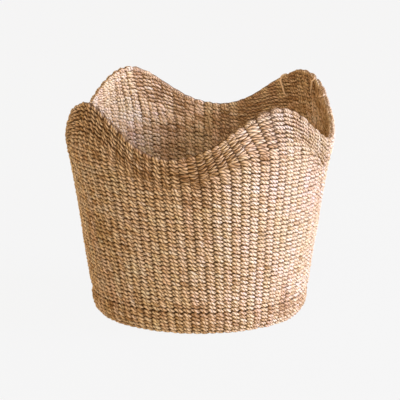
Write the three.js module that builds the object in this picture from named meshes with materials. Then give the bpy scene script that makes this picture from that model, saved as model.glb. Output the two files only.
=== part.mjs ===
// Planter basket: a round twined basket of plied cord with a four-peaked wave rim.
//
// Upright cords, the stakes, run inside the weave from the foot to the rim. Each doubled
// stake is one cord: it rises, turns over under the border and comes down one place
// further round. The weave is twined round the stakes in courses: a base, a foot that
// bulges and turns under, a flaring side whose short courses fill the four peaks, and a
// band of courses that follows the wave. A border course closes over the turned stakes.
//
// Millimetres, +Z up, the front towards -Y. Angles run from the front towards +X.
import * as THREE from 'three';
import { mergeVertices } from 'three/addons/utils/BufferGeometryUtils.js';

// Driving dimensions of the side
const BELLY_RADIUS = 177.5;
const BELLY_HEIGHT = 238;
const BELLY_ROUNDING = 24;
const SIDE_FLARE = 0.158;
const PEAK_LEAN = 0.162;
const WALL_THICKNESS = 8.6;
const RIB_RELIEF = 1.2;

// Driving dimensions of the foot and the base
const GROOVE_HEIGHT = 31;
const GROOVE_DEPTH = 3;
const GROOVE_LIP = 5;
const FOOT_BULGE_HEIGHT = 17;
const FOOT_BULGE_INSET = 1.5;
const FOOT_TURN_HEIGHT = 7;
const FOOT_TURN_INSET = 4.8;
const SOLE_INSET = 10;
const SOLE_WIDTH = 12;
const LEDGE_HEIGHT = 2.5;
const LEDGE_WIDTH = 7;
const BASE_THICKNESS = 7;
const BASE_CROWN = 3;

// Driving dimensions of the rim: its mean height and the waves laid on it, the second,
// third and fourth of them the unevenness of hand work
const RIM_HEIGHT = 269.5;
const RIM_WAVES = [
  { count: 4, height: 30, angle: 33.8 },
  { count: 1, height: 6.5, angle: 151 },
  { count: 3, height: 2.6, angle: 0 },
  { count: 6, height: 3.2, angle: -15 },
];
const COURSE_PITCH = 5.3;
const RIM_COURSES = 6;
const BORDER_HEIGHT = 7;
const BORDER_ROUNDING = 2.4;

// How many courses below the band the side and its stakes first bend inwards
const TURN_COURSES = 5;

// Driving dimensions of the stakes
const DOUBLED_STAKES = 42;
const STAKE_DIAMETER = 3.4;
const STAKE_END_HEIGHT = 8;
const CLEARANCE = 0.3;
const CHANNEL_ROOM = 0.5;
const HEAD_ROOM = 0.8;

const FIBRE_ROUGHNESS = 0.85;
const MERGE_TOLERANCE = 1e-4;

const STAKES = 2 * DOUBLED_STAKES;
const STAKE_STEP = (2 * Math.PI) / STAKES;

// The outer side in upright section: a flare and an inward lean, rounded into each other
const BELLY_CORNER = BELLY_RADIUS
  + (BELLY_ROUNDING * SIDE_FLARE * PEAK_LEAN) / (SIDE_FLARE + PEAK_LEAN);

function outerRadius(height) {
  const above = height - BELLY_HEIGHT;
  if (above < -BELLY_ROUNDING) return BELLY_CORNER + SIDE_FLARE * above;
  if (above > BELLY_ROUNDING) return BELLY_CORNER - PEAK_LEAN * above;
  const t = (above + BELLY_ROUNDING) / (2 * BELLY_ROUNDING);
  const low = BELLY_CORNER - SIDE_FLARE * BELLY_ROUNDING;
  const high = BELLY_CORNER - PEAK_LEAN * BELLY_ROUNDING;
  return (1 - t) ** 2 * low + 2 * t * (1 - t) * BELLY_CORNER + t ** 2 * high;
}

// The wave of the rim, and how much further down a course laid along it reaches where it
// slopes, because its thickness stays square to the wave
function waveHeight(angle) {
  let height = RIM_HEIGHT;
  for (const wave of RIM_WAVES) {
    const phase = angle - THREE.MathUtils.degToRad(wave.angle);
    height += wave.height * Math.cos(wave.count * phase);
  }
  return height;
}

function slopeStretch(angle) {
  const reach = STAKE_STEP / 2;
  const rise = waveHeight(angle + reach) - waveHeight(angle - reach);
  return Math.hypot(1, rise / (2 * reach * BELLY_RADIUS));
}

// The corners of every ring stand between the stakes
function columnAngle(column) {
  return (column - 0.5) * STAKE_STEP;
}

// An edge that lies some millimetres of weave below the rim, straight between corners
function belowRim(depth) {
  const cornerHeight = (column) => {
    const angle = columnAngle(column);
    return waveHeight(angle) - depth * slopeStretch(angle);
  };
  return (angle) => {
    const place = angle / STAKE_STEP + 0.5;
    const column = Math.floor(place);
    return THREE.MathUtils.lerp(cornerHeight(column), cornerHeight(column + 1), place - column);
  };
}

const bandDepth = BORDER_HEIGHT + RIM_COURSES * COURSE_PITCH;
const rimTop = belowRim(0);
const rimShoulder = belowRim(BORDER_ROUNDING);
const borderFoot = belowRim(BORDER_HEIGHT);
const bandTop = belowRim(BORDER_HEIGHT + CLEARANCE);
const bandFoot = belowRim(bandDepth);
const sideTop = belowRim(bandDepth + CLEARANCE);
const sideTurn = belowRim(bandDepth + TURN_COURSES * COURSE_PITCH);

// The turned head of a stake lies just over the band, and the border leaves it room
const stakeHalf = STAKE_DIAMETER / 2;
const headHeight = belowRim(BORDER_HEIGHT - CLEARANCE - stakeHalf);
const slotTop = belowRim(BORDER_HEIGHT - CLEARANCE - STAKE_DIAMETER - HEAD_ROOM);

// A stake keeps to the middle of the wall, straight between its end, its two bends and its
// head. Both bends turn it inwards, so it lies on the innermost of its straight lines.
const middleRadius = (height) => outerRadius(height) - WALL_THICKNESS / 2;

function stakeRadius(angle, height) {
  const turns = [STAKE_END_HEIGHT, sideTurn(angle), bandFoot(angle), headHeight(angle)];
  const lines = turns.slice(1).map((high, index) => {
    const share = (height - turns[index]) / (high - turns[index]);
    return THREE.MathUtils.lerp(middleRadius(turns[index]), middleRadius(high), share);
  });
  return Math.min(...lines);
}

// The corners of a square section, outwards and sideways from its middle, in turn
const SQUARE = [[1, -1], [1, 1], [-1, 1], [-1, -1]];

function at(radius, angle, height) {
  return new THREE.Vector3(radius * Math.sin(angle), -radius * Math.cos(angle), height);
}

// A closed mesh that grows by strips, with its faces turned out
class Shell {
  points = [];

  triangles = [];

  add(point) {
    this.points.push(point);
    return this.points.length - 1;
  }

  quad(a, b, c, d) {
    this.triangles.push(a, b, c, a, c, d);
  }

  strip(near, far) {
    let here = 0;
    let there = 0;
    while (here + 1 < near.length || there + 1 < far.length) {
      const nearShare = (here + 0.5) / (near.length - 1);
      const farShare = (there + 0.5) / (far.length - 1);
      if (here + 1 < near.length && nearShare <= farShare) {
        this.triangles.push(near[here], near[here + 1], far[there]);
        here += 1;
      } else {
        this.triangles.push(near[here], far[there + 1], far[there]);
        there += 1;
      }
    }
  }

  // The four walls between two square rings, or of a channel when the upper one is first
  tube(from, to) {
    from.forEach((corner, index) => {
      const next = (index + 1) % from.length;
      this.quad(corner, from[next], to[next], to[index]);
    });
  }

  // The face between two edges, with the four-cornered mouth of a channel in it
  holedStrip(near, far, mouth) {
    const sides = [
      near,
      [near.at(-1), far.at(-1)],
      far.toReversed(),
      [far[0], near[0]],
    ];
    sides.forEach((side, index) => this.strip(side, [mouth[index], mouth[(index + 1) % 4]]));
  }

  geometry() {
    const geometry = new THREE.BufferGeometry();
    const coordinates = this.points.flatMap((point) => point.toArray());
    geometry.setAttribute('position', new THREE.Float32BufferAttribute(coordinates, 3));
    geometry.setIndex(this.triangles);
    return geometry;
  }
}

// A ring swept round the basket. corners are the corners of its upright section in order,
// the outer side going up: each is { at(angle) => [radius, height], ribbed }, and a ribbed
// one crests over every stake. channel, where the stakes pass through, gives the edges
// that it is stepped at, upwards, and the faces it opens in, by their first corner.
function wovenRing(corners, channel) {
  const shell = new Shell();
  const columns = [];
  for (let column = 0; column < STAKES; column += 1) {
    const angle = columnAngle(column);
    columns.push(corners.map((corner) => {
      const [radius, height] = corner.at(angle);
      return shell.add(at(radius - (corner.ribbed ? RIB_RELIEF : 0), angle, height));
    }));
  }
  for (let stake = 0; stake < STAKES; stake += 1) {
    const left = columns[stake];
    const right = columns[(stake + 1) % STAKES];
    const edges = corners.map((corner, index) => {
      if (!corner.ribbed) return [left[index], right[index]];
      const angle = stake * STAKE_STEP;
      const [radius, height] = corner.at(angle);
      return [left[index], shell.add(at(radius, angle, height)), right[index]];
    });
    const mouths = channel ? addChannel(shell, channel, stake) : {};
    edges.forEach((edge, index) => {
      const next = edges[(index + 1) % edges.length];
      if (mouths[index]) shell.holedStrip(edge, next, mouths[index]);
      else shell.strip(edge, next);
    });
  }
  return shell.geometry();
}

// The channel of one stake: its four corners at each step, its walls facing in, and its
// two mouths, or a floor where it stops inside the weave. The corners of a mouth lie in
// the face around it, and those of the bend between them are level like the stake's.
function addChannel(shell, channel, stake) {
  const angle = stake * STAKE_STEP;
  const half = stakeHalf + CHANNEL_ROOM;
  const rings = channel.steps.map((level, step) => SQUARE.map(([outwards, sideways]) => {
    const swing = (sideways * half) / stakeRadius(angle, level(angle));
    const inFace = step === 0 || step + 1 === channel.steps.length;
    const height = level(inFace ? angle + swing : angle);
    return shell.add(at(stakeRadius(angle, height) + outwards * half, angle + swing, height));
  }));
  for (let step = 1; step < rings.length; step += 1) shell.tube(rings[step], rings[step - 1]);
  const mouths = { [channel.upperFace]: rings.at(-1) };
  const [outLeft, outRight, inRight, inLeft] = rings[0];
  if (channel.lowerFace === undefined) shell.quad(outLeft, outRight, inRight, inLeft);
  else mouths[channel.lowerFace] = [inLeft, inRight, outRight, outLeft];
  return mouths;
}

// Corners of a section: at a fixed place, or on the outer or inner side at a level
const plain = (radius, height) => ({ at: () => [radius, height] });
const outside = (level) => ({ at: (angle) => [outerRadius(level(angle)), level(angle)], ribbed: true });
const inside = (level) => ({
  at: (angle) => [outerRadius(level(angle)) - WALL_THICKNESS, level(angle)],
});

// The foot: it bulges below the groove, turns under to a flat sole and carries the base
// on a ledge
const footRadius = outerRadius(GROOVE_HEIGHT);
const soleInner = footRadius - SOLE_INSET - SOLE_WIDTH;
const baseSeat = soleInner + LEDGE_WIDTH;
const footTop = GROOVE_HEIGHT - CLEARANCE / 2;

function footWeave() {
  const corners = [
    plain(soleInner, 0),
    plain(footRadius - SOLE_INSET, 0),
    plain(footRadius - FOOT_TURN_INSET, FOOT_TURN_HEIGHT),
    plain(footRadius - FOOT_BULGE_INSET, FOOT_BULGE_HEIGHT),
    plain(footRadius - FOOT_BULGE_INSET, GROOVE_HEIGHT - GROOVE_LIP),
    plain(footRadius - GROOVE_DEPTH, footTop),
    plain(footRadius - WALL_THICKNESS, footTop),
    plain(baseSeat, LEDGE_HEIGHT),
    plain(soleInner, LEDGE_HEIGHT),
  ];
  const steps = [() => STAKE_END_HEIGHT - CLEARANCE, () => footTop];
  return wovenRing(corners, { steps, upperFace: 5 });
}

// The base: a crowned disc whose slanted edge fits the inside of the foot
function baseWeave() {
  const under = LEDGE_HEIGHT + CLEARANCE;
  const top = under + BASE_THICKNESS;
  const edgeSlope = (footRadius - WALL_THICKNESS - baseSeat) / (footTop - LEDGE_HEIGHT);
  const edgeRadius = baseSeat - CLEARANCE;
  const profile = [
    new THREE.Vector2(0, under + BASE_CROWN),
    new THREE.Vector2(edgeRadius, under),
    new THREE.Vector2(edgeRadius + BASE_THICKNESS * edgeSlope, top),
    new THREE.Vector2(0, top + BASE_CROWN),
  ];
  const geometry = new THREE.LatheGeometry(profile, STAKES);
  geometry.rotateX(Math.PI / 2);
  geometry.rotateZ(columnAngle(0));
  geometry.deleteAttribute('normal');
  geometry.deleteAttribute('uv');
  return mergeVertices(geometry, MERGE_TOLERANCE);
}

// The side: whole courses up from the groove, and short ones that fill the four peaks
function sideWeave() {
  const sideFoot = () => GROOVE_HEIGHT + CLEARANCE / 2;
  const lipTop = () => GROOVE_HEIGHT + GROOVE_LIP;
  const corners = [
    plain(footRadius - GROOVE_DEPTH, sideFoot()),
    outside(lipTop),
    outside(sideTurn),
    outside(sideTop),
    inside(sideTop),
    inside(sideTurn),
    inside(sideFoot),
  ];
  return wovenRing(corners, { steps: [sideFoot, sideTurn, sideTop], lowerFace: 6, upperFace: 3 });
}

// The band of courses laid along the wave
function rimWeave() {
  const corners = [outside(bandFoot), outside(bandTop), inside(bandTop), inside(bandFoot)];
  return wovenRing(corners, { steps: [bandFoot, bandTop], lowerFace: 3, upperFace: 1 });
}

// The border course: it closes over the turned stakes, which lie in the slot under it
function borderCourse() {
  const inset = (level, depth) => ({
    at: (angle) => [outerRadius(level(angle)) - depth, level(angle)],
  });
  const slotHalf = stakeHalf + HEAD_ROOM;
  const middle = WALL_THICKNESS / 2;
  const corners = [
    outside(borderFoot),
    outside(rimShoulder),
    inset(rimTop, BORDER_ROUNDING),
    inset(rimTop, WALL_THICKNESS - BORDER_ROUNDING),
    inside(rimShoulder),
    inside(borderFoot),
    inset(borderFoot, middle + slotHalf),
    inset(slotTop, middle + slotHalf),
    inset(slotTop, middle - slotHalf),
    inset(borderFoot, middle - slotHalf),
  ];
  return wovenRing(corners);
}

// One doubled stake: up at one place, over under the border and down at the next
function stakePath(pair) {
  const first = 2 * pair * STAKE_STEP;
  const second = first + STAKE_STEP;
  const between = (first + second) / 2;
  const inWall = (angle, height) => at(stakeRadius(angle, height), angle, height);
  const leg = (angle) => [
    inWall(angle, STAKE_END_HEIGHT),
    inWall(angle, sideTurn(angle)),
    inWall(angle, bandFoot(angle)),
    inWall(angle, headHeight(angle)),
  ];
  return [...leg(first), inWall(between, headHeight(between)), ...leg(second).reverse()];
}

// The corners of a square cord at each point of a path, mitred where it bends. At the
// first point it is set square to the basket; turn is -1 on a path that it runs back along.
function squareSections(path, half, turn) {
  const heading = (step) => path[step + 1].clone().sub(path[step]).normalize();
  const start = heading(0);
  const out = new THREE.Vector3(path[0].x, path[0].y, 0).normalize();
  out.addScaledVector(start, -out.dot(start)).normalize();
  const side = new THREE.Vector3().crossVectors(start, out).multiplyScalar(turn);
  const sections = [SQUARE.map(([outwards, sideways]) => path[0].clone()
    .addScaledVector(out, outwards * half)
    .addScaledVector(side, sideways * half))];
  for (let step = 1; step < path.length; step += 1) {
    const before = heading(step - 1);
    const facing = before.clone();
    if (step + 1 < path.length) facing.add(heading(step));
    sections.push(sections[step - 1].map((corner) => {
      const reach = path[step].clone().sub(corner).dot(facing) / before.dot(facing);
      return corner.clone().addScaledVector(before, reach);
    }));
  }
  return sections;
}

// A doubled cord, followed from both of its ends to the middle of its head
function cord(path, half) {
  const shell = new Shell();
  const middle = (path.length - 1) / 2;
  const rising = squareSections(path, half, 1);
  const falling = squareSections(path.toReversed(), half, -1).reverse();
  const meeting = rising[middle].map((corner, index) => corner.lerp(falling[middle][index], 0.5));
  const sections = [...rising.slice(0, middle), meeting, ...falling.slice(middle + 1)];
  const rings = sections.map((corners) => corners.map((corner) => shell.add(corner)));
  for (let step = 1; step < rings.length; step += 1) shell.tube(rings[step - 1], rings[step]);
  shell.quad(...rings[0].toReversed());
  shell.quad(...rings.at(-1));
  return shell.geometry();
}

const basket = new THREE.Group();

function addPiece(name, geometry, color) {
  const material = new THREE.MeshStandardMaterial({ color, roughness: FIBRE_ROUGHNESS });
  const mesh = new THREE.Mesh(geometry, material);
  mesh.name = name;
  basket.add(mesh);
}

addPiece('base_weave', baseWeave(), 0xb48a58);
addPiece('foot_weave', footWeave(), 0xb98c58);
addPiece('side_weave', sideWeave(), 0xc79f6d);
addPiece('rim_weave', rimWeave(), 0xcba471);
addPiece('border', borderCourse(), 0xd6b283);
for (let pair = 0; pair < DOUBLED_STAKES; pair += 1) {
  const number = String(pair + 1).padStart(2, '0');
  addPiece(`stake_pair_${number}`, cord(stakePath(pair), stakeHalf), 0x9c7340);
}

export default basket;
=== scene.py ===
import math

import bpy
import numpy as np
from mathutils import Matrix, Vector


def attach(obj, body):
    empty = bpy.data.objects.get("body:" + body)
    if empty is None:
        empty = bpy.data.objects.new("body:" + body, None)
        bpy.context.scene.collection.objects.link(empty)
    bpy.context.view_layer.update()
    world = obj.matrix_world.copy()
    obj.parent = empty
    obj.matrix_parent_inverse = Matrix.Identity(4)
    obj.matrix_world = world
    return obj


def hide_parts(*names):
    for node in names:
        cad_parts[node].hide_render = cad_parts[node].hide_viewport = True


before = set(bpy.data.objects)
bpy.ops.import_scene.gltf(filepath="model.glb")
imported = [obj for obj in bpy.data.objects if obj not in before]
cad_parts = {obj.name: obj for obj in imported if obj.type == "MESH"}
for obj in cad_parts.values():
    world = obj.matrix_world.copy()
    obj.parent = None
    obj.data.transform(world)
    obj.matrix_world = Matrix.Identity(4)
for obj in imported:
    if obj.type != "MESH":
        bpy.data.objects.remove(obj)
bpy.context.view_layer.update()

# A planter basket of two-ply cord, twined in pairs of strands round upright stakes. Lengths are
# millimetres until a mesh is made. Angles run from the front (-Y) towards +X, and columns count the
# stakes round the basket. Every strand draws from rng, so the order of the pieces counts.
MM = 0.001
STAKES = 84
STEP = 2 * math.pi / STAKES
PITCH = 5.3
rng = np.random.default_rng(seed=7)

# The outer side in upright section: height, radius
SECTION = np.array([
    (-6, 132.0), (0, 136.7), (5, 140.2), (10, 142.7), (15, 144.1), (20, 144.8), (25, 144.9),
    (28, 144.5), (31.5, 144.2), (35, 145.4), (38.5, 147.0), (60, 150.1), (100, 156.2), (140, 162.2),
    (170, 166.8), (200, 172.0), (212, 174.8), (222, 176.9), (232, 177.7), (240, 177.6), (248, 176.8),
    (260, 174.7), (280, 172.0), (300, 168.6), (316, 165.6),
])
# It is read in fine steps of height, and its bends are rounded over this many steps to either side
SECTION_STEP = 0.5
SECTION_BLUR = 4
# How deep mid-wall lies under the outer side
WALL_MIDDLE = 4.4

# The wave of the rim, as harmonics of a turn. Its slope is measured at this radius, over this angle
RIM_MEAN = 269.5
RIM_COUNTS = np.array([1, 2, 3, 4, 5, 6, 8])
RIM_COS = np.array([-5.74, -1.77, 2.58, -21.34, 0.56, 0.19, 0.66])
RIM_SIN = np.array([3.18, -0.85, -0.33, 21.2, 1.26, -3.16, -0.17])
RIM_RADIUS = 176.0
SLOPE_REACH = 0.005
# Where the rim departs from the even wave: degrees round, half width in degrees, added height
RIM_BUMPS = ((101, 26, 6.0), (133, 11, -2.6), (-76, 12, 3.0))

# The right side is a little fuller near the rim: degrees round, half width, added radius, heights
SWELL_TURN, SWELL_HALF = 98, 58
SWELL_DEPTH = 2.4
SWELL_START, SWELL_END = 212.0, 250.0

# Zones where the cord looks different, and where light and shade are painted on it: degrees round, half width
# in degrees
ZONES = {
    "front": (-17, 58), "left": (-60, 75), "right": (58, 60),
    "back left": (-112, 62), "back right": (110, 60), "right border": (100, 50),
}

# The columns of stitches lean to the left, most in front, and fan out from each peak towards the rim
LEAN, LEAN_EVEN = 0.055, 0.4
LEAN_MIDDLE, LEAN_RADIUS = 130.0, 170.0
FAN, FAN_REACH, FAN_POWER = 0.055, 75.0, 1.4
# Where columns are pulled aside near the rim: column, half width and pull in columns, reach
PULLS = ((4.8, 5.6, -1.25, 52.0), (6.0, 3.6, -1.0, 44.0), (48.7, 8.0, 1.8, 62.0), (24.0, 4.5, -0.8, 60.0))
PULL_POWER = 1.15

# The unevenness of each stake: its kinds, the rise between two random values, and what each kind changes
WANDER_PLACE, WANDER_PUSH, WANDER_SHADE, WANDER_CAST = range(4)
WANDER_RISES, WANDER_RISE = 8, 40.0
WANDER_TABLE = np.random.default_rng(seed=21).normal(0, 1, (4, STAKES, WANDER_RISES + 1))
STAKE_PLACE, STAKE_SHADE, STAKE_PUSH, STAKE_CAST = 0.07, 0.55, 0.28, 0.6

# A strand as a tube: points to a stitch, and sides
STITCH_STEPS = 10
SIDES = 8
# Its two plies: the length of one turn, where the first starts, how unevenly they turn and stand out
LAY = 10.5
FIRST_TURN = 6.28
LAY_SWAY, LAY_SWAY_EVERY = 0.5, 9
LOBE = 0.15
# Its texture starts anywhere in this length of fibre
FIBRE_LENGTH = 900
# Its inner side, which has painted shade of its own, softer grooves and a weaker painted shade in its gaps,
# and the painted shade on its flanks
INNER_REACH, INNER_START = 0.85, 0.3
INSIDE_TONE = -0.5
HOLLOW_INSIDE = 0.84
WIDEST_GROOVE = -0.6
FLANK_GAP, FLANK_START = 1.3, 0.45

# The UV map: rings of tube to a strip, the empty edges of a strip, and how large the caps are
STRIP_RINGS = 252
STRIP_END = 0.001
STRIP_EDGE = 0.06
CAP_SIZE = 0.3

# How far a strand swings to either side of the stakes and rises as it does, and how abruptly
SWING = 2.1
TWIST_RISE = 1.25
SWING_SQUARE = 2.0
RISE_SQUARE = 0.4
INSIDE_SWING = -0.1
# Its half sizes at a stake and, as the waist, between two, and what makes it fuller or slimmer
WIDE, TALL, WAIST = 2.1, 2.15, 1.6
WAIST_WIDE = 0.9
FULLNESS_POWER = 0.75
FLAT_FULLER, INSIDE_FULLER = 0.45, 0.12
EGG_OUTSIDE, EGG_INSIDE = 0.3, 0.15
END_SLIM = 0.35
# How soon the painted shade of a crossing ends, and how strong the painted shade of all gaps is
CROSSING_POWER = 1.3
GAP_DEEP = 1.05
# What the zones change in a strand: shares of its measures and of its painted shade in gaps and crossings,
# and painted light and shade that shift its tone: lighter on the left and inside the back left, darker inside
# the back right
LEFT_RISE, LEFT_PLY, LEFT_DEEP, LEFT_CROSSING, LEFT_TONE = -0.4, -0.45, 0.3, -0.25, 0.4
RIGHT_RISE, RIGHT_DEEP = -0.6, -0.08
BACK_LEFT_FULLER, BACK_LEFT_INSIDE, BACK_RIGHT_INSIDE = 0.2, 0.9, -0.4
# The thin core that closes the gaps between two strands. Its dark tone and the dark of its gaps are painted
# shade
CORE_EVERY, CORE_SIDES = 5, 5
CORE_WIDE, CORE_TALL = 1.0, 3.3
CORE_TONE, CORE_GAP = -1.0, 0.8

# Random changes from stitch to stitch
SIZE_SPREAD, PUSH_SPREAD, SWAY_SPREAD = 0.07, 0.2, 0.25
SHADE_SPREAD, STRAND_SHADE_SPREAD, CAST_SPREAD = 0.4, 0.35, 0.4
# Loose stitches vary by this much more in place and in shade
LOOSE_SWAY, LOOSE_SHADE = 0.8, 0.7

# The ripples of the courses: height, seed of the first course, and how many waves go round
RIPPLE_PHASE = 6.3
SLOW_COUNTS = (3, 5, 8, 13, 21)
QUICK_COUNTS = (4, 7, 11, 17, 29)
RIPPLES = {
    "foot": (0.12, 100, SLOW_COUNTS), "side": (0.28, 300, QUICK_COUNTS), "band": (0.3, 500, QUICK_COUNTS),
    "border": (0.3, 900, QUICK_COUNTS), "base": (0.15, 700, SLOW_COUNTS),
}

# What a slope changes in a course: the slopes where each change starts or is complete, and the changes
TURN_START, TURN_REACH = 0.15, 0.2
PLY_REACH, PLY_LEAST = 0.6, 0.6
CLIMB_REACH, FALL_REACH, LOOSE_REACH = 0.4, 0.5, 0.3
# The painted shade at crossings and in gaps, and how much a fall or a climb changes it
COURSE_CROSSING, FALL_CROSSING, CLIMB_CROSSING = 0.92, -0.4, -0.1
FALL_DEEP, CLIMB_DEEP = 0.3, 0.15

# Painted shade near the rim, and the painted light and shade that the zones add to it. The painted shading
# and the calm fade with the room under the band
RIM_TONE, FRONT_TONE, RIGHT_TONE, BACK_LEFT_TONE = -0.8, -0.95, 0.85, 0.6
TONE_REACH, CALM_REACH = 18.0, 30.0
RIM_CALM, SIDE_CALM, RIGHT_CALM = -0.35, -0.15, 0.5

# The foot: the lowest that cord may lie, the heights of its courses, the painted shade that darkens it, and
# the painted shade of its dark fold
FLOOR = 0.2
FOOT_COURSES = (0.4, 5.6, 10.9, 16.2, 21.5, 26.7)
FOOT_TONE = -0.9
FOLD_HEIGHT, FOLD_REACH, FOLD_TONE = 27, 9, -0.5

# The side: its lowest course, where short courses may begin, and the visible pieces that it is cut into
SIDE_FOOT = 32.0
SHORT_FROM = 175.0
WHOLE_STEPS = int((SHORT_FROM - SIDE_FOOT) / PITCH)
SHORT_BASE = SIDE_FOOT + WHOLE_STEPS * PITCH
SIDE_PIECES, PIECE_COURSES = 6, 7
# A short course takes its share of the room: how that is found, blurred, cut off and faded out
PEAK_LEVEL, PEAK_STEP = 290.0, 0.05
NEAR_BAND = 3.0
GOLDEN = 0.618034
SHARE_BLUR = 12
SHORTEST_SHARE = 0.12
COUNT_SLACK = 0.01
FADE_SHARE, FADE_LEAST = 0.6, 0.05
SLOPE_POINTS = 3

# The band: its courses with the border, the strands' half sizes, and how a slope slims them
BAND_COURSES = 7
BAND_WIDE, BAND_TALL, BAND_WAIST = 2.0, 2.05, 1.4
BAND_SLIM = -1.6
# How a slope brings the courses near the rim closer together
SLOPE_CLOSER = -0.6

# The border: its swing and half sizes, how far it humps over each stake, and what a steep climb and the
# tightly laid zones change
BORDER_DEPTH = 2.9
BORDER_SWING, BORDER_RISE, BORDER_PLY = 2.0, 0.5, 1.5
BORDER_WIDE, BORDER_TALL, BORDER_WAIST = 2.0, 2.5, 1.2
# Painted light that makes the border lighter at the back left
BORDER_BACK_LEFT_TONE = 0.8
HUMP = 0.75
HUMP_LEVEL, HUMP_SLOPE, HUMP_CLIMB = 0.6, 0.4, -0.6
CLIMB_START, CLIMB_END = 0.35, 0.65
# A steep climb changes the border's height and waist, and weakens the painted shade of its crossings
CLIMB_TALL, CLIMB_WAIST, CLIMB_DARK = -0.2, 0.7, -0.3
# The painted shade of the border's gaps, and how much the tightly laid zones weaken the painted shade of its
# gaps, crossings and core
BORDER_DEEP, TIGHT_DEEP, TIGHT_CROSSING, TIGHT_CORE = 1.15, -0.6, -0.5, -0.4

# The base: the outer ring, the rings' uprights by radius, the fold inside the foot and the crown
BASE_RADIUS = 129.0
BASE_STAKES = ((98, 84), (48, 42), (21, 20), (0, 10))
BASE_HEIGHT, BASE_FOLD, BASE_FOLD_WIDTH, BASE_CROWN = 3.7, 2.9, 14, 3.0
BASE_STEPS, BASE_SIDES = 5, 6
BASE_SWING, BASE_WIDE = 2.0, 1.5
BASE_INNER = 3
BUTTON_RADIUS, BUTTON_HEIGHT, BUTTON_SIZE, BUTTON_POINTS = 2.6, 9.6, 2.9, 24
BUTTON_FLAT = 0.9

# The doubled stakes: foot, places of the top and the turn under the rim, half size, points
STAKE_FOOT = 8
STAKE_TOP, STAKE_TURN = 5.0, 3.0
STAKE_SIZE = 1.6
STAKE_POINTS = 40

# Three stake ends turned over the rim inside the back right peak. In degrees round: where each crosses the
# rim, how far from there its arch starts, and where it ends. Then the height where it ends, its half size,
# how pale its arch is, and how far inside the rim it lies.
TUCKED_ENDS = (
    (137.0, -3.4, 134.0, 266.0, 1.6, 2.2, 0.0),
    (109.4, 0.6, 114.0, 276.0, 1.4, -1.6, 2.8),
    (99.4, 0.6, 104.0, 279.0, 1.2, 0.3, 2.8),
)
# The arch over the rim: share of the way round, height over the rim, distance out from mid-wall
ARCH = np.array([(0, -2.0, 1.0), (0.3, 0.8, 1.4), (0.6, 1.6, 1.0), (0.85, 1.6, 0.4)])
# The run down the inside: its start over the rim, and how far it lies in from mid-wall along its way
RUN_POINTS = 26
RUN_TOP = 0.9
RUN_START, RUN_SINK, RUN_RETURN = -0.6, -5.6, 3.5
RUN_SINK_END, RUN_RETURN_START = 1 / 7, 7 / 8
RUN_CLEAR = 0.4
# The end is fuller and paler in the bend at the top of its arch
BEND_POINT, BEND_REACH, BEND_FULLER = 2, 1.6, 0.3
END_FLAT, END_TONE, END_PLY = 0.9, 0.3, 0.15

# The cord's look along the fibre: scale of its noises across and along the cord, and their detail
STREAKS, FINE, PATCHES = ((2.6, 2.6, 0.16), 3.0), ((7.0, 7.0, 0.45), 2.0), ((0.6, 0.6, 0.09), 2.0)
NOISE_ROUGHNESS = 0.6
STREAK_SHARE, TONE_SHARE, PATCH_SHARE = 0.5, 0.42, 0.28
DARKEST, LIGHTEST = 0.3, 0.9
DARK_STOP, MIDDLE_STOP, LIGHT_STOP = 0.1, 0.45, 0.9
GROOVE_START, GROOVE_END = 0.05, 0.50
TONE_RANGE, CAST_RANGE = 2.2, 2.0
# The painted shade of gaps, crossings and flanks, and the painted shade in the groove between the plies
HOLLOW_START, HOLLOW_END = 0.42, 0.85
HOLLOW_DARK, GROOVE_DARK = 0.97, 0.92
GREEN_CAST, PINK_CAST = (0.96, 0.98, 0.86, 1), (1.0, 0.92, 0.98, 1)
FINE_START, FINE_END = 0.3, 0.7
LEAST_ROUGH, MOST_ROUGH = 0.5, 0.75
SPECULAR = 0.15
BUMP_STRENGTH, BUMP_DISTANCE = 0.55, 0.0006
STREAK_RELIEF, FINE_RELIEF = 0.4, 0.25

# The lights, in metres: place, size, power, colour
LIGHTS = {
    "key": ((3.8, -0.45, 1.5), 2.4, 175, (0.88, 1.07, 1.70)),
    "fill": ((1.9, -2.6, 0.8), 1.4, 60, (1.0, 0.99, 0.97)),
}
LIGHT_TARGET = (0, 0, 0.2)
# The room lights the basket more from all round than from overhead, and the camera sees it pale
ROOM_TINT, SEEN_TINT = (1.0, 0.735, 0.45, 1), (1, 1, 1, 1)
ROOM_LEVEL, OVERHEAD_LEVEL, SEEN_LEVEL = 1.88, 0.2, 0.922
OVERHEAD_START, OVERHEAD_END = 0.1, 0.9
# The floor is dark to light and glows, warm on the basket and pale to the camera
FLOOR_SIZE = 6
FLOOR_BASE = (0.02, 0.02, 0.02, 1)
FLOOR_GLOW, FLOOR_SEEN = (0.33, 0.235, 0.14, 1), (0.897, 0.897, 0.897, 1)

CAMERA_PLACE = (0, -2.7629, 0.7872)
CAMERA_TILT = math.radians(76.62)
CAMERA_LENS, CAMERA_SENSOR = 191.3, 36
CAMERA_SHIFT_X, CAMERA_SHIFT_Y = 0.0010, 0.0286


# Measures and curves

def ramp(value, start, end):
    """How far a value has come from start to end, from 0 to 1."""
    return np.clip((value - start) / (end - start), 0, 1)


def eased(share):
    """A share from 0 to 1 that starts and ends gently."""
    return share * share * (3 - 2 * share)


def unit(vectors):
    return vectors / np.linalg.norm(vectors, axis=1, keepdims=True)


def direction(path, closed):
    """Which way a path runs at each of its points."""
    if closed:
        return unit(np.roll(path, -1, 0) - np.roll(path, 1, 0))
    return unit(np.vstack([path[1:], path[-1:]]) - np.vstack([path[:1], path[:-1]]))


def as_column(value, count):
    """A number, or one for each of count points, as a column that meets the sides of a tube."""
    return np.reshape(value + np.zeros(count), (-1, 1))


def mound(angle, middle, half):
    """A smooth rise from 0 at half to either side of middle to 1 in the middle."""
    away = np.mod(angle - middle + math.pi, 2 * math.pi) - math.pi
    return np.cos(np.clip(away / half, -1, 1) * math.pi / 2) ** 2


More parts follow.
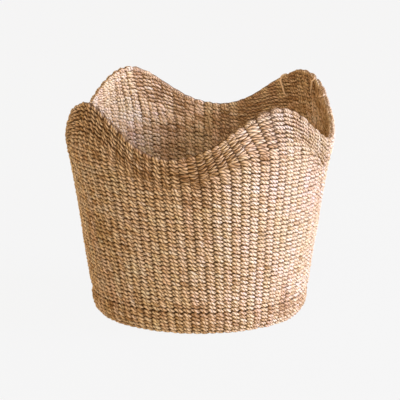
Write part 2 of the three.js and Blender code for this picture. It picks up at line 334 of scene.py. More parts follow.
def zone(name, turn):
    """How much a place round the basket belongs to a zone, from 0 to 1."""
    middle, half = ZONES[name]
    return mound(turn, math.radians(middle), math.radians(half))


def ripple(column, part, number=0):
    """A smooth unevenness round the basket, for one course of a part."""
    size, seed, counts = RIPPLES[part]
    local = np.random.default_rng(seed + number)
    total = np.zeros_like(column, dtype=float)
    for count in counts:
        total += local.normal() * np.cos(column * STEP * count + local.uniform(0, RIPPLE_PHASE))
    return size * total / math.sqrt(len(counts))


def wander(kind, column, height):
    """A hand-made unevenness of each stake, which changes slowly as it rises."""
    table = WANDER_TABLE[kind]
    left = np.floor(column).astype(int)
    level = np.clip(height / WANDER_RISE, 0, WANDER_RISES - 0.001)
    low = level.astype(int)
    across, up = eased(column - left), eased(level - low)
    near = table[left % STAKES, low] * (1 - up) + table[left % STAKES, low + 1] * up
    far = table[(left + 1) % STAKES, low] * (1 - up) + table[(left + 1) % STAKES, low + 1] * up
    return near * (1 - across) + far * across


def round_columns(steps=STITCH_STEPS, stakes=STAKES):
    """Once round from the back, so that no strand starts in front."""
    return stakes // 2 + np.arange(stakes * steps) / steps


# The form of the basket

def smooth_section():
    """The outer side's radius in fine steps of height, with its bends rounded."""
    heights = np.arange(SECTION[0, 0], SECTION[-1, 0] + SECTION_STEP / 2, SECTION_STEP)
    radii = np.interp(heights, SECTION[:, 0], SECTION[:, 1])
    window = np.ones(2 * SECTION_BLUR + 1)
    return heights, np.convolve(np.pad(radii, SECTION_BLUR, mode="edge"), window / len(window), mode="valid")


SECTION_HEIGHTS, SECTION_RADII = smooth_section()
SECTION_SLOPES = np.gradient(SECTION_RADII, SECTION_HEIGHTS)


def outer_radius(height):
    return np.interp(height, SECTION_HEIGHTS, SECTION_RADII)


def wave(angle):
    """The height of the rim."""
    turns = np.multiply.outer(angle, RIM_COUNTS)
    height = RIM_MEAN + np.cos(turns) @ RIM_COS + np.sin(turns) @ RIM_SIN
    for middle, half, added in RIM_BUMPS:
        height = height + added * mound(angle, math.radians(middle), math.radians(half))
    return height


def wave_slope(angle):
    return (wave(angle + SLOPE_REACH) - wave(angle - SLOPE_REACH)) / (2 * SLOPE_REACH) / RIM_RADIUS


def column_angle(column, height):
    """Where a column of stitches stands at a height: it leans, and fans out in the peaks."""
    straight = (column + STAKE_PLACE * wander(WANDER_PLACE, column, height)) * STEP
    below = height - wave(straight)
    lean = LEAN * (LEAN_EVEN + (1 - LEAN_EVEN) * np.cos(straight)) * (height - LEAN_MIDDLE) / LEAN_RADIUS
    angle = straight - lean - FAN * wave_slope(straight) * ramp(below, -FAN_REACH, 0) ** FAN_POWER
    for middle, half, pull, reach in PULLS:
        share = mound(column * STEP, middle * STEP, half * STEP)
        angle = angle + pull * STEP * share * ramp(below, -reach, 0) ** PULL_POWER
    return angle


def band_height(column, depth):
    """The height of a course that lies that far below the rim, square to the wave."""
    height = wave(column * STEP) - depth
    for _ in range(4):
        angle = column_angle(column, height)
        height = wave(angle) - depth * np.hypot(1, wave_slope(angle)) ** SLOPE_CLOSER
    return height


def wall_frame(angle, height):
    """A point at mid-wall and the outward normal there."""
    fuller = mound(angle, math.radians(SWELL_TURN), math.radians(SWELL_HALF))
    radius = outer_radius(height) + SWELL_DEPTH * fuller * eased(ramp(height, SWELL_START, SWELL_END))
    slope = np.interp(height, SECTION_HEIGHTS, SECTION_SLOPES)
    length = np.hypot(1, slope)
    out, up = 1 / length, -slope / length
    around = np.stack([np.sin(angle), -np.cos(angle), np.zeros_like(angle)], 1)
    normal = around * out[:, None]
    normal[:, 2] = up
    place = around * (radius - WALL_MIDDLE * out)[:, None]
    place[:, 2] = height - WALL_MIDDLE * up
    return place, normal


def flat_ring(radius, angle, height):
    """Points on a ring that lies flat, and the normal of its underside."""
    level = height + np.zeros_like(angle)
    place = np.stack([radius * np.sin(angle), -radius * np.cos(angle), level], 1)
    return place, np.tile([0.0, 0.0, -1.0], (len(angle), 1))


# Strands

def ply_twist(path, ply, closed):
    """How far along the cord each point lies, and how far its plies have turned there."""
    lengths = np.linalg.norm(np.diff(path, axis=0), axis=1)
    travel = np.concatenate([[0], np.cumsum(lengths)])
    tight = ply + np.zeros(len(path))
    gain = np.concatenate([[0], np.cumsum(lengths * (tight[1:] + tight[:-1]) / 2)])
    turns = gain / LAY
    if closed:
        turns = turns * max(1, round(turns[-1])) / turns[-1]
    start = rng.uniform(0, FIRST_TURN)
    knots = np.linspace(0, travel[-1], int(travel[-1] / LAY_SWAY_EVERY) + 3)
    sway = rng.normal(0, LAY_SWAY, len(knots))
    sway[-1] = sway[0]
    return travel, start - turns * 2 * math.pi + np.interp(travel, knots, sway)


class Weave:
    """Collects strands and turns them into one mesh."""

    def __init__(self, name):
        self.name = name
        self.places, self.fibres, self.tones, self.hollows, self.casts = [], [], [], [], []
        self.quads, self.charts, self.caps = [], [], []
        self.count = 0
        self.strips = 0

    def tube(self, path, normal, wide, tall, tone, hollow, closed, sides=SIDES, lobe=LOBE, egg=0.0,
             floor=-math.inf, ply=1.0, cast=0.0, deep=1.0, calm=0.0, inside=INSIDE_TONE):
        """A strand along path. wide and tall are its half sizes along the normal and across it.

        Its form: lobe is how far its two plies stand out, egg how much slimmer its outer side is, ply
        how tightly it is twisted, and floor the lowest that it may lie. Its colour: the tone makes it
        lighter, by random tone and by painted light and shade, and painted light and shade of the inner
        side add to that there; cast changes its hue; the painted shade of a gap where it dips comes
        next, with a strength that deepens it; and calm hides the groove between the plies above 0
        and widens it below.
        """
        count = len(path)
        along = direction(path, closed)
        out = unit(normal - (normal * along).sum(1, keepdims=True) * along)
        up = np.cross(out, along)
        travel, twist = ply_twist(path, ply, closed)
        phases = np.linspace(0, 2 * math.pi, sides, endpoint=False)
        turned = phases[None, :] - twist[:, None]
        lobes = 1 + lobe * np.cos(2 * turned)
        slimmer = 1 - np.multiply.outer(egg, np.cos(phases))
        outward = wide[:, None] * np.cos(phases)[None, :] * lobes
        upward = tall[:, None] * np.sin(phases)[None, :] * lobes * slimmer
        ring = path[:, None, :] + outward[:, :, None] * out[:, None, :] + upward[:, :, None] * up[:, None, :]
        ring[:, :, 2] = np.maximum(ring[:, :, 2], floor)

        # Painted light and shade on the inner side: it gets a painted shading of its own, and its grooves and
        # the painted shade of its gaps are softer
        inner = INNER_REACH * np.clip(INNER_START - np.cos(phases), 0, 1)[None, :]
        calm = as_column(calm, count)
        shallow = 1 - (1 - inner) * (1 - np.clip(calm, 0, 1))
        groove = np.cos(turned)
        fibre = np.empty((count, sides, 3))
        fibre[:, :, 0] = groove + shallow * (np.sign(groove) - groove)
        fibre[:, :, 0] *= 1 + np.clip(calm, WIDEST_GROOVE, 0)
        fibre[:, :, 1] = np.sin(turned)
        fibre[:, :, 2] = travel[:, None] + rng.uniform(0, FIBRE_LENGTH)
        # Painted shade on the flanks, where the courses meet, and in the gaps where the strand dips
        flank = FLANK_GAP * (np.abs(np.sin(phases)) - FLANK_START)[None, :] * (1 - inner)
        gaps = np.maximum(hollow[:, None] * (1 - (1 - HOLLOW_INSIDE) * inner), flank)

        self.add_faces(count, sides, closed)
        self.places.append(ring.reshape(-1, 3))
        self.fibres.append(fibre.reshape(-1, 3))
        self.tones.append((tone[:, None] + as_column(inside, count) * inner).ravel())
        self.hollows.append((gaps * as_column(deep, count)).ravel())
        self.casts.append(np.repeat(cast + np.zeros(count), sides))
        self.count += count * sides

    def add_faces(self, count, sides, closed):
        """The quads and caps of a tube, and its strips of the UV map."""
        spans = count if closed else count - 1
        here, side = np.arange(spans), np.arange(sides)
        there, beside = (here + 1) % count, (side + 1) % sides
        corners = ((here, side), (there, side), (there, beside), (here, beside))
        quads = [self.count + rows[:, None] * sides + cols[None, :] for rows, cols in corners]
        self.quads.append(np.stack(quads, 2).reshape(-1, 4))
        strip, ring = np.divmod(here, STRIP_RINGS)
        chart = np.empty((spans, sides, 4, 3))
        chart[..., 0] = (ring[:, None, None] + np.array([0, 1, 1, 0])) / STRIP_RINGS
        chart[..., 1] = (side[None, :, None] + np.array([0, 0, 1, 1])) / sides
        chart[..., 2] = (strip + self.strips)[:, None, None]
        self.charts.append(chart.reshape(-1, 3))
        self.strips += int(strip.max()) + 1
        if not closed:
            first = self.count + np.arange(sides)
            self.caps += [first[::-1], first + (count - 1) * sides]

    def corner_map(self):
        """The UV map: the strips lie one above the other, and the caps in the last one's upper edge."""
        charts = np.concatenate(self.charts)
        corners = np.empty((len(charts), 2))
        corners[:, 0] = charts[:, 0] * (1 - 2 * STRIP_END) + STRIP_END
        corners[:, 1] = (charts[:, 2] + STRIP_EDGE + (1 - 2 * STRIP_EDGE) * charts[:, 1]) / self.strips
        parts = [corners]
        for number, cap in enumerate(self.caps):
            spin = np.linspace(0, 2 * math.pi, len(cap), endpoint=False)
            across = (number + 0.5 + CAP_SIZE * np.cos(spin)) / len(self.caps)
            up = (self.strips - STRIP_EDGE / 2 + STRIP_EDGE / 3 * np.sin(spin)) / self.strips
            parts.append(np.stack([across, up], 1))
        return np.concatenate(parts)

    def finish(self, material, slot, *nodes):
        """Makes the piece, which rides on the one body and replaces its nodes."""
        quads = np.concatenate(self.quads)
        sizes = np.array([4] * len(quads) + [len(cap) for cap in self.caps])
        mesh = bpy.data.meshes.new(self.name)
        mesh.vertices.add(self.count)
        mesh.vertices.foreach_set("co", (np.concatenate(self.places) * MM).astype(np.float32).ravel())
        mesh.loops.add(int(sizes.sum()))
        mesh.loops.foreach_set("vertex_index", np.concatenate([quads.ravel(), *self.caps]).astype(np.int32))
        mesh.polygons.add(len(sizes))
        mesh.polygons.foreach_set("loop_start", (np.cumsum(sizes) - sizes).astype(np.int32))
        mesh.polygons.foreach_set("use_smooth", np.ones(len(sizes), dtype=bool))
        mesh.update(calc_edges=True)
        layer = mesh.uv_layers.new(name="OFBake")
        layer.data.foreach_set("uv", self.corner_map().astype(np.float32).ravel())
        for name, values in (("tone", self.tones), ("hollow", self.hollows), ("cast", self.casts)):
            attribute = mesh.attributes.new(name, "FLOAT", "POINT")
            attribute.data.foreach_set("value", np.concatenate(values).astype(np.float32))
        attribute = mesh.attributes.new("fibre", "FLOAT_VECTOR", "POINT")
        attribute.data.foreach_set("vector", np.concatenate(self.fibres).astype(np.float32).ravel())
        mesh.validate()
        piece = bpy.data.objects.new(self.name, mesh)
        bpy.context.scene.collection.objects.link(piece)
        mesh.materials.append(material)
        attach(piece, "root")
        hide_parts(*nodes)
        print(self.name, len(quads) * 2, "triangles")


def twine(weave, column, place, normal, swing=SWING, rise=TWIST_RISE, wide=WIDE, tall=TALL, waist=WAIST,
          closed=True, fade=1.0, sides=SIDES, floor=-math.inf, tone_shift=0.0, stake_level=None, ply=1.0,
          loose=0.0, deep=1.0, crossing=1.0, turn=None, calm=0.0, core_gap=CORE_GAP):
    """Two strands that pass each other between the stakes. column runs on by 1 a stake.

    Their half sizes are wide and, up and down, tall at a stake and waist between two. fade draws them
    together where a short course ends, loose makes them vary more, crossing is the painted shade where
    they pass each other, and the core gets a painted gap shade of its own. The other measures are
    those of Weave.tube.
    """
    up = unit(np.cross(normal, direction(place, closed)))
    turn = column * STEP if turn is None else turn
    left, right, back_left = zone("left", turn), zone("right", turn), zone("back left", turn)
    rise = rise * (1 + RIGHT_RISE * right) * (1 + LEFT_RISE * left)
    ply = ply * (1 + LEFT_PLY * left)
    # The zones change the painted shade of gaps and crossings, and paint light and shade on the inner side:
    # lighter inside the back left, darker elsewhere and most inside the back right
    deep = deep * (GAP_DEEP + LEFT_DEEP * left + RIGHT_DEEP * right)
    crossing = crossing * (1 + LEFT_CROSSING * left)
    inside = INSIDE_TONE + BACK_LEFT_INSIDE * back_left + BACK_RIGHT_INSIDE * zone("back right", turn)
    loose = np.maximum(left, loose)
    fade = np.broadcast_to(fade, len(column))
    slim = END_SLIM + (1 - END_SLIM) * fade
    first = int(math.floor(column[0])) - 1
    stitches = int(math.ceil(column[-1])) + 3 - first
    nearest = np.floor(column + 0.5).astype(int) - first
    if closed:
        nearest = nearest % int(round(column[-1] - column[0]))

    def each_stitch(spread):
        """A random value for every stitch, given to all its points."""
        return rng.normal(0, spread, stitches)[nearest]

    for strand in (0, 1):
        phase = math.pi * column + math.pi * strand
        across, height = np.cos(phase), -np.sin(phase)
        height = (1 + RISE_SQUARE) * height - RISE_SQUARE * height ** 3
        outward = np.tanh(SWING_SQUARE * across) / math.tanh(SWING_SQUARE)
        at_stake = np.abs(across)
        within = np.clip(-outward, 0, 1)
        size = 1 + each_stitch(SIZE_SPREAD)
        push = each_stitch(PUSH_SPREAD) * at_stake
        sway = each_stitch(SWAY_SPREAD) * at_stake * (1 + LOOSE_SWAY * loose)
        # Random tone from stitch to stitch and strand to strand, then the painted shading that is given, and
        # painted light that makes the left side lighter
        shade = each_stitch(SHADE_SPREAD) * (1 + LOOSE_SHADE * loose) + rng.normal(0, STRAND_SHADE_SPREAD)
        shade = shade + tone_shift + LEFT_TONE * left
        cast = each_stitch(CAST_SPREAD)
        if stake_level is not None:
            shade = shade + STAKE_SHADE * wander(WANDER_SHADE, column, stake_level)
            push = push + STAKE_PUSH * wander(WANDER_PUSH, column, stake_level)
            cast = cast + STAKE_CAST * wander(WANDER_CAST, column, stake_level)
        fullness = at_stake ** FULLNESS_POWER
        half_tall = waist + (tall - waist) * fullness + FLAT_FULLER * (1 - np.abs(rise) / TWIST_RISE)
        half_tall = half_tall * size * (1 + (INSIDE_FULLER + BACK_LEFT_FULLER * back_left) * within) * slim
        half_wide = wide * (WAIST_WIDE + (1 - WAIST_WIDE) * fullness) * size * slim
        swung = (outward * swing * (1 + INSIDE_SWING * within) + push) * fade
        path = place + swung[:, None] * normal + (height * rise + sway)[:, None] * up
        egg = EGG_OUTSIDE * np.clip(outward, 0, 1) + EGG_INSIDE * within
        # Painted shade where the strand dips between the stakes and the strands cross
        hollow = crossing * (1 - at_stake) ** CROSSING_POWER
        weave.tube(path, normal, half_wide, half_tall, shade, hollow, closed, sides=sides, egg=egg,
                   floor=floor, ply=ply, cast=cast, deep=deep, calm=calm, inside=inside)
    # The thin core closes the gaps between the strands; its dark tone and its gap shade are painted shade
    thin = slice(None, None, CORE_EVERY)
    thick = CORE_WIDE * fade[thin]
    tone = np.full(len(thick), CORE_TONE)
    gap = np.broadcast_to(core_gap, len(column))[thin]
    weave.tube(place[thin], normal[thin], thick, CORE_TALL * thick, tone, gap, closed, sides=CORE_SIDES,
               lobe=0.0, floor=floor)


def lay_course(weave, column, level, **style):
    """Two strands on the wall, at these heights."""
    place, normal = wall_frame(column_angle(column, level), level)
    twine(weave, column, place, normal, stake_level=level, **style)


# Materials

class NodeMaker:
    """Adds shader nodes to one tree. A number or colour is set, and another node's output is linked."""

    def __init__(self, tree):
        self.tree = tree

    def put(self, socket, value):
        """Sets a socket, or links it."""
        if isinstance(value, bpy.types.NodeSocket):
            self.tree.links.new(value, socket)
        else:
            socket.default_value = value

    def add(self, kind, inputs=None, output=0, **settings):
        """One node with its settings and inputs. Gives the output that is asked for."""
        node = self.tree.nodes.new("ShaderNode" + kind)
        for name, value in settings.items():
            setattr(node, name, value)
        for key, value in (inputs or {}).items():
            self.put(node.inputs[key], value)
        return node.outputs[output]

    def math(self, operation, *values):
        return self.add("Math", dict(enumerate(values)), operation=operation)

    def ranged(self, value, low, high, to_low=0.0, to_high=1.0):
        return self.add("MapRange", dict(enumerate((value, low, high, to_low, to_high))))

    def mix(self, factor, low, high, blend="MIX"):
        return self.add("Mix", {0: factor, 6: low, 7: high}, 2, data_type="RGBA", blend_type=blend)

    def weighted(self, *pairs):
        """The sum of some values, each times its weight."""
        parts = [self.math("MULTIPLY", value, weight) for value, weight in pairs]
        total = parts[0]
        for part in parts[1:]:
            total = self.math("ADD", total, part)
        return total

    def attribute(self, name, output):
        return self.add("Attribute", output=output, attribute_name=name)

    def noise(self, vector, scale, detail):
        """Noise that is stretched to a scale of its own along each axis."""
        stretched = self.add("Mapping", {"Vector": vector, "Scale": scale})
        inputs = {"Vector": stretched, "Scale": 1.0, "Detail": detail, "Roughness": NOISE_ROUGHNESS}
        return self.add("TexNoise", inputs)


def cord_material(name, dark, middle, light, gap):
    """Plied fibre: streaks along the cord, a groove between its plies with painted shade in it, and painted
    shade in the gaps between strands.
    """
    material = bpy.data.materials.new(name)
    material.use_nodes = True
    make = NodeMaker(material.node_tree)
    shader = material.node_tree.nodes["Principled BSDF"].inputs

    fibre = make.attribute("fibre", "Vector")
    groove_distance = make.math("ABSOLUTE", make.add("SeparateXYZ", {0: fibre}))
    ply = make.ranged(groove_distance, GROOVE_START, GROOVE_END)
    streaks, fine, patches = (make.noise(fibre, *settings) for settings in (STREAKS, FINE, PATCHES))

    tone = make.ranged(make.attribute("tone", "Fac"), -TONE_RANGE, TONE_RANGE)
    lightness = make.weighted((streaks, STREAK_SHARE), (tone, TONE_SHARE), (patches, PATCH_SHARE))
    ramp_node = material.node_tree.nodes.new("ShaderNodeValToRGB")
    stops = ramp_node.color_ramp.elements
    stops[0].position, stops[0].color = DARK_STOP, dark
    stops[1].position, stops[1].color = LIGHT_STOP, light
    stops.new(MIDDLE_STOP).color = middle
    make.put(ramp_node.inputs[0], make.ranged(lightness, DARKEST, LIGHTEST))
    cast = make.ranged(make.attribute("cast", "Fac"), -CAST_RANGE, CAST_RANGE)
    tint = make.mix(cast, GREEN_CAST, PINK_CAST)
    tinted = make.mix(1.0, ramp_node.outputs[0], tint, "MULTIPLY")

    # Painted shade: the gaps, crossings and flanks, and the groove between the plies, are mixed towards the
    # last colour
    hollow = make.ranged(make.attribute("hollow", "Fac"), HOLLOW_START, HOLLOW_END)
    hollow = make.math("MULTIPLY", hollow, HOLLOW_DARK)
    groove = make.math("MULTIPLY", make.math("SUBTRACT", 1.0, ply), GROOVE_DARK)
    make.put(shader["Base Color"], make.mix(make.math("MAXIMUM", hollow, groove), tinted, gap))
    make.put(shader["Roughness"], make.ranged(fine, FINE_START, FINE_END, LEAST_ROUGH, MOST_ROUGH))
    make.put(shader["Specular IOR Level"], SPECULAR)
    relief = make.weighted((streaks, STREAK_RELIEF), (fine, FINE_RELIEF), (ply, 1.0))
    bump = {"Strength": BUMP_STRENGTH, "Distance": BUMP_DISTANCE, "Height": relief}
    make.put(shader["Normal"], make.add("Bump", bump))
    return material


# The last colour of each cord is its painted shade, for gaps and grooves
weave_material = cord_material(
    "weave_cord",
    dark=(0.38, 0.225, 0.105, 1), middle=(0.74, 0.56, 0.375, 1), light=(0.80, 0.72, 0.63, 1),
    gap=(0.055, 0.02, 0.003, 1),
)
stake_material = cord_material(
    "stake_cord",
    dark=(0.22, 0.11, 0.04, 1), middle=(0.42, 0.25, 0.12, 1), light=(0.62, 0.43, 0.26, 1),
    gap=(0.10, 0.045, 0.012, 1),
)


# The foot

def fold_shade(height):
    """Painted shade: darker cord in the shallow fold above the foot."""
    return FOLD_TONE * math.exp(-((height - FOLD_HEIGHT) / FOLD_REACH) ** 2)


def build_foot():
    """The courses that bulge below the fold and turn under to the flat sole."""
    foot = Weave("foot_twining")
    columns = round_columns()
    for number, height in enumerate(FOOT_COURSES):
        level = height + ripple(columns, "foot", number)
        # Painted shade: the foot is darker, and darker still near the fold above it
        lay_course(foot, columns, level, floor=FLOOR, tone_shift=fold_shade(height) + FOOT_TONE)
    foot.finish(weave_material, "weave_cord", "foot_weave")


# The side

def side_limit(column):
    """The centre height of a course laid right under the band."""
    return band_height(column, PITCH * (BAND_COURSES + 0.5))


def peak_stretches():
    """The columns of the peaks, and how far the pitch stretches so that whole courses fill each."""
    columns = np.arange(0, STAKES, PEAK_STEP)
    tops = wave(column_angle(columns, PEAK_LEVEL))
    peaks = columns[(tops > np.roll(tops, 1)) & (tops >= np.roll(tops, -1))]
    rooms = side_limit(peaks) - SHORT_BASE
    return peaks, rooms / (np.round(rooms / PITCH) * PITCH)


def drop_order(count):
    """Which short course gives way first where the rim falls: mostly those near the band, well mixed."""
    free = list(range(count))
    ranks = np.zeros(count)
    for step in range(count):
        wish = count * math.fmod(0.5 + step * GOLDEN, 1) ** (1 / NEAR_BAND) - 0.5
        course = min(free, key=lambda index: abs(index - wish))
        free.remove(course)
        ranks[course] = count - 1 - step
    return ranks


def short_courses():
    """Heights and shares of the courses that fill the peaks: a share falls to 0 where a course ends."""
    column = round_columns()
    spread = PITCH * np.interp(column, *peak_stretches(), period=STAKES)
    count = (side_limit(column) - SHORT_BASE) / spread
    ranks = drop_order(int(math.ceil(count.max() - COUNT_SLACK)))
    shares = np.clip(count - ranks[:, None], 0, 1)
    shifts = range(-SHARE_BLUR, SHARE_BLUR + 1)
    shares = sum(np.roll(shares, shift, 1) for shift in shifts) / len(shifts)
    spread = spread * count / shares.sum(0)
    heights = SHORT_BASE + PITCH / 2 + spread * (np.cumsum(shares, 0) - shares / 2)
    return heights, shares


def strand_rise(slope):
    """How far the strands rise as they swing: they turn the other way where the course climbs."""
    return TWIST_RISE * np.clip(1 - (slope - TURN_START) / TURN_REACH, -1, 1)


def course_style(slope):
    """How tight the plies show, how dark the painted shade of the crossings and gaps is, and how loose the
    stitches are on a slope.
    """
    climb, fall = ramp(slope, 0, CLIMB_REACH), ramp(-slope, 0, FALL_REACH)
    return {
        "ply": np.clip(1 - slope / PLY_REACH, PLY_LEAST, 1),
        "crossing": COURSE_CROSSING + FALL_CROSSING * fall + CLIMB_CROSSING * climb,
        "deep": 1 + FALL_DEEP * fall + CLIMB_DEEP * climb,
        "loose": ramp(slope, 0, LOOSE_REACH),
    }


def rim_tone(turn, right=RIGHT_TONE, back_left=BACK_LEFT_TONE):
    """Painted shade: the cord is darker near the rim, most of all in front, and less so in the zones that are
    named, where painted light lifts it.
    """
    lighter = right * zone("right", turn) + back_left * zone("back left", turn)
    return RIM_TONE + FRONT_TONE * zone("front", turn) + lighter


def runs(present):
    """The stretches of a course that are there, each as a list of its points."""
    if present.all():
        return [np.arange(len(present))]
    shift = int(np.flatnonzero(~present)[0])
    edges = np.flatnonzero(np.diff(np.roll(present, -shift).astype(int), prepend=0, append=0))
    spans = [np.arange(start, stop) for start, stop in zip(edges[::2], edges[1::2])]
    return [(span + shift) % len(present) for span in spans if len(span) >= STITCH_STEPS]


def lay_row(weave, number, level, share):
    """One course of the side, in as many runs as it has."""
    column = round_columns()
    turn = column * STEP
    room = np.maximum(side_limit(column) - level, 0)
    near = np.exp(-room / CALM_REACH)
    # Painted shade near the rim, lifted by painted light in the named zones, fades with the room under the
    # band; the painted shade of the fold is added below
    tone = rim_tone(turn) * np.exp(-room / TONE_REACH)
    calm = (SIDE_CALM + RIGHT_CALM * zone("right", turn)) * (1 - near) + RIM_CALM * near
    fade = np.clip((share - SHORTEST_SHARE) / FADE_SHARE, FADE_LEAST, 1)
    climbed = np.roll(level, -SLOPE_POINTS) - np.roll(level, SLOPE_POINTS)
    slope = climbed / (2 * SLOPE_POINTS * STEP / STITCH_STEPS * outer_radius(level))
    level = level + ripple(column, "side", number)
    tone = tone + fold_shade(level.mean())
    slim = 1 / np.hypot(1, slope)
    for part in runs(share > SHORTEST_SHARE):
        along = column[part[0]] + np.arange(len(part)) / STITCH_STEPS
        lay_course(weave, along, level[part], rise=strand_rise(slope[part]), tall=TALL * slim[part],
                   waist=WAIST * slim[part], closed=len(part) == len(column), fade=fade[part],
                   tone_shift=tone[part], calm=calm[part], **course_style(slope[part]))


def build_side():
    """All courses of the side, cut by height so that no piece has too many triangles."""
    points = len(round_columns())
    rows = [(np.full(points, SIDE_FOOT + step * PITCH), np.ones(points)) for step in range(WHOLE_STEPS + 1)]
    rows += zip(*short_courses())
    for group in range(SIDE_PIECES):
        side = Weave(f"side_twining_{group + 1}")
        first = group * PIECE_COURSES
        last = len(rows) if group == SIDE_PIECES - 1 else first + PIECE_COURSES
        for number in range(first, last):
            lay_row(side, number, *rows[number])
        side.finish(weave_material, "weave_cord", "side_weave")


# The band and the border

def build_band():
    """The courses that run along the wave, between the side and the border."""
    band = Weave("rim_band_twining")
    columns = round_columns()
    turn = columns * STEP
    slope = wave_slope(turn)
    slim = np.hypot(1, slope) ** BAND_SLIM
    for course in range(1, BAND_COURSES):
        level = band_height(columns, PITCH * (course + 0.5)) + ripple(columns, "band", course)
        # Painted shade near the rim, lifted by painted light in the named zones
        lay_course(band, columns, level, rise=strand_rise(slope) * slim, wide=BAND_WIDE,
                   tall=BAND_TALL * slim, waist=BAND_WAIST * slim, tone_shift=rim_tone(turn),
                   calm=RIM_CALM, **course_style(slope))
    band.finish(weave_material, "weave_cord", "rim_weave")


def build_border():
    """The last course. It humps over each stake, less so where the rim climbs steeply."""
    border = Weave("border_twining")
    columns = round_columns()
    turn = columns * STEP
    slope = wave_slope(turn)
    climb = ramp(slope, CLIMB_START, CLIMB_END)
    tight = np.minimum(1, zone("right border", turn) + zone("back left", turn))
    humped = HUMP_LEVEL + HUMP_SLOPE * np.clip(slope / CLIMB_REACH, -1, 1) + HUMP_CLIMB * climb
    hump = HUMP * np.cos(2 * math.pi * columns) * humped
    level = band_height(columns, BORDER_DEPTH) + ripple(columns, "border") + hump
    # Painted shading: darker near the rim, lighter at the back left, and painted shade at the crossings, gaps
    # and core, weaker where the cord lies tightly and where the rim climbs
    tone = rim_tone(turn, right=0.0, back_left=BORDER_BACK_LEFT_TONE)
    crossing = (1 + TIGHT_CROSSING * tight) * (1 + CLIMB_DARK * climb)
    lay_course(border, columns, level, swing=BORDER_SWING, rise=BORDER_RISE * strand_rise(slope),
               wide=BORDER_WIDE, tall=BORDER_TALL + CLIMB_TALL * climb,
               waist=BORDER_WAIST + CLIMB_WAIST * climb, tone_shift=tone, ply=BORDER_PLY, calm=RIM_CALM,
               crossing=crossing, deep=BORDER_DEEP + TIGHT_DEEP * tight,
               core_gap=CORE_GAP + TIGHT_CORE * tight)
    border.finish(weave_material, "weave_cord", "border")


# The base

def build_base():
    """Rings of twining, with fewer uprights towards the middle, and a button that closes it."""
    base = Weave("base_twining")
    for number, radius in enumerate(np.arange(BASE_RADIUS, BASE_INNER, -PITCH)):
        stakes = next(count for least, count in BASE_STAKES if radius > least)
        columns = round_columns(BASE_STEPS, stakes)
        angle = columns * 2 * math.pi / stakes
        fold = BASE_FOLD * eased(ramp(BASE_RADIUS - radius, 0, BASE_FOLD_WIDTH))
        level = BASE_HEIGHT + fold + BASE_CROWN * (1 - radius / BASE_RADIUS)
        ring = radius + ripple(columns * STAKES / stakes, "base", number)
        place, normal = flat_ring(ring, angle, level)
        twine(base, columns, place, normal, swing=BASE_SWING, wide=BASE_WIDE, sides=BASE_SIDES, floor=FLOOR,
              turn=angle)
    angle = np.linspace(0, 2 * math.pi, BUTTON_POINTS, endpoint=False)
    place, normal = flat_ring(BUTTON_RADIUS, angle, BUTTON_HEIGHT)
    size = np.full(len(angle), BUTTON_SIZE)
    base.tube(place, normal, BUTTON_FLAT * size, size, 0 * size, 0 * size, True)
    base.finish(weave_material, "weave_cord", "base_weave")


# The stakes

def build_stakes():
    """Doubled stakes: each rises in one column, turns over under the border and comes down in the next."""
    stakes = Weave("stakes")
    for left in range(0, STAKES, 2):
        tops = band_height(np.array([left, left + 1.0]), STAKE_TOP)
        turn = band_height(np.array([left + 0.5]), STAKE_TURN)
        rise = np.linspace(STAKE_FOOT, tops[0], STAKE_POINTS)
        fall = np.linspace(tops[1], STAKE_FOOT, STAKE_POINTS)
        heights = np.concatenate([rise, turn, fall])
        column = left + np.repeat([0, 0.5, 1], [STAKE_POINTS, 1, STAKE_POINTS])
        place, normal = wall_frame(column_angle(column, heights), heights)
        size = np.full(len(column), STAKE_SIZE)
        stakes.tube(place, normal, size, size, 0 * size, 0 * size, False)
    stake_nodes = [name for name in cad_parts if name.startswith("stake_pair_")]
    stakes.finish(stake_material, "stake_cord", *stake_nodes)


def tuck_end(weave, top, lead, foot, foot_height, size, pale, inset):
    """One stake end: an arch over the rim, then a straight run down the inside."""
    top, start, foot = np.radians([top, top + lead, foot])
    share = np.linspace(0, 1, RUN_POINTS)
    arch = start + (top - start) * ARCH[:, 0]
    rim = wave(np.array([top]))[0]
    angle = np.concatenate([arch, top + (foot - top) * share])
    heights = np.concatenate([wave(arch) + ARCH[:, 1], rim + RUN_TOP + (foot_height - rim) * share])
    run = RUN_START + RUN_SINK * ramp(share, 0, RUN_SINK_END) + RUN_RETURN * ramp(share, RUN_RETURN_START, 1)
    depth = np.concatenate([ARCH[:, 2] - inset, np.minimum(run, -inset - RUN_CLEAR)])
    place, normal = wall_frame(angle, heights)
    bend = np.exp(-((np.arange(len(angle)) - BEND_POINT) / BEND_REACH) ** 2)
    thick = size * (1 + BEND_FULLER * bend)
    weave.tube(place + normal * depth[:, None], normal, END_FLAT * thick, thick, END_TONE + pale * bend,
               0 * thick, False, ply=END_PLY)


def build_tucked_ends():
    """The three ends that show inside the back right peak."""
    ends = Weave("tucked_ends")
    for end in TUCKED_ENDS:
        tuck_end(ends, *end)
    ends.finish(weave_material, "weave_cord")


build_foot()
build_side()
build_band()
build_border()
build_base()
build_stakes()
build_tucked_ends()


# Floor, room, lights and camera

def pale_material():
    """Pale to the camera, and a weak warm glow to the basket."""
    material = bpy.data.materials.new("pale_floor")
    material.use_nodes = True
    make = NodeMaker(material.node_tree)
    shader = material.node_tree.nodes["Principled BSDF"].inputs
    seen = make.add("LightPath", output="Is Camera Ray")
    make.put(shader["Base Color"], FLOOR_BASE)
    make.put(shader["Roughness"], 1.0)
    make.put(shader["Specular IOR Level"], 0.0)
    make.put(shader["Emission Color"], make.mix(seen, FLOOR_GLOW, FLOOR_SEEN))
    make.put(shader["Emission Strength"], 1.0)
    return material


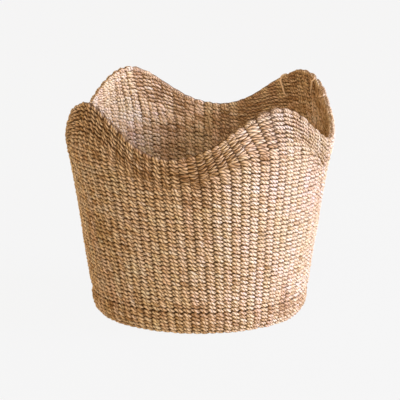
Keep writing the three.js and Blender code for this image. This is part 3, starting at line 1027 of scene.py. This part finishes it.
def lay_floor():
    """A plain pale floor, which isn't part of the object."""
    mesh = bpy.data.meshes.new("floor")
    corners = [(x * FLOOR_SIZE, y * FLOOR_SIZE, 0) for x, y in ((-1, -1), (1, -1), (1, 1), (-1, 1))]
    mesh.from_pydata(corners, [], [(0, 1, 2, 3)])
    mesh.materials.append(pale_material())
    floor = bpy.data.objects.new("floor", mesh)
    bpy.context.scene.collection.objects.link(floor)


def light_room():
    """Soft light from all round, with a plain pale background."""
    world = bpy.data.worlds.new("studio")
    bpy.context.scene.world = world
    world.use_nodes = True
    make = NodeMaker(world.node_tree)
    background = world.node_tree.nodes["Background"].inputs
    seen = make.add("LightPath", output="Is Camera Ray")
    height = make.add("SeparateXYZ", {0: make.add("TexCoord", output="Generated")}, 2)
    room = make.ranged(height, OVERHEAD_START, OVERHEAD_END, ROOM_LEVEL, OVERHEAD_LEVEL)
    make.put(background["Strength"], make.ranged(seen, 0.0, 1.0, room, SEEN_LEVEL))
    make.put(background["Color"], make.mix(seen, ROOM_TINT, SEEN_TINT))


def area_light(name, place, size, power, colour):
    """A square light that looks at the basket."""
    light = bpy.data.lights.new(name, "AREA")
    light.energy = power
    light.size = size
    light.color = colour
    lamp = bpy.data.objects.new(name, light)
    bpy.context.scene.collection.objects.link(lamp)
    lamp.location = place
    lamp.rotation_mode = "QUATERNION"
    lamp.rotation_quaternion = (Vector(place) - Vector(LIGHT_TARGET)).to_track_quat("Z", "Y")


def set_camera():
    """The photograph's view."""
    data = bpy.data.cameras.new("camera")
    data.sensor_width = CAMERA_SENSOR
    data.lens = CAMERA_LENS
    data.shift_x = CAMERA_SHIFT_X
    data.shift_y = CAMERA_SHIFT_Y
    camera = bpy.data.objects.new("camera", data)
    camera.location = CAMERA_PLACE
    camera.rotation_euler = (CAMERA_TILT, 0, 0)
    bpy.context.scene.collection.objects.link(camera)
    bpy.context.scene.camera = camera


lay_floor()
light_room()
for name, light in LIGHTS.items():
    area_light(name, *light)
set_camera()
bpy.context.scene.view_settings.view_transform = "Standard"
bpy.context.scene.view_settings.look = "None"
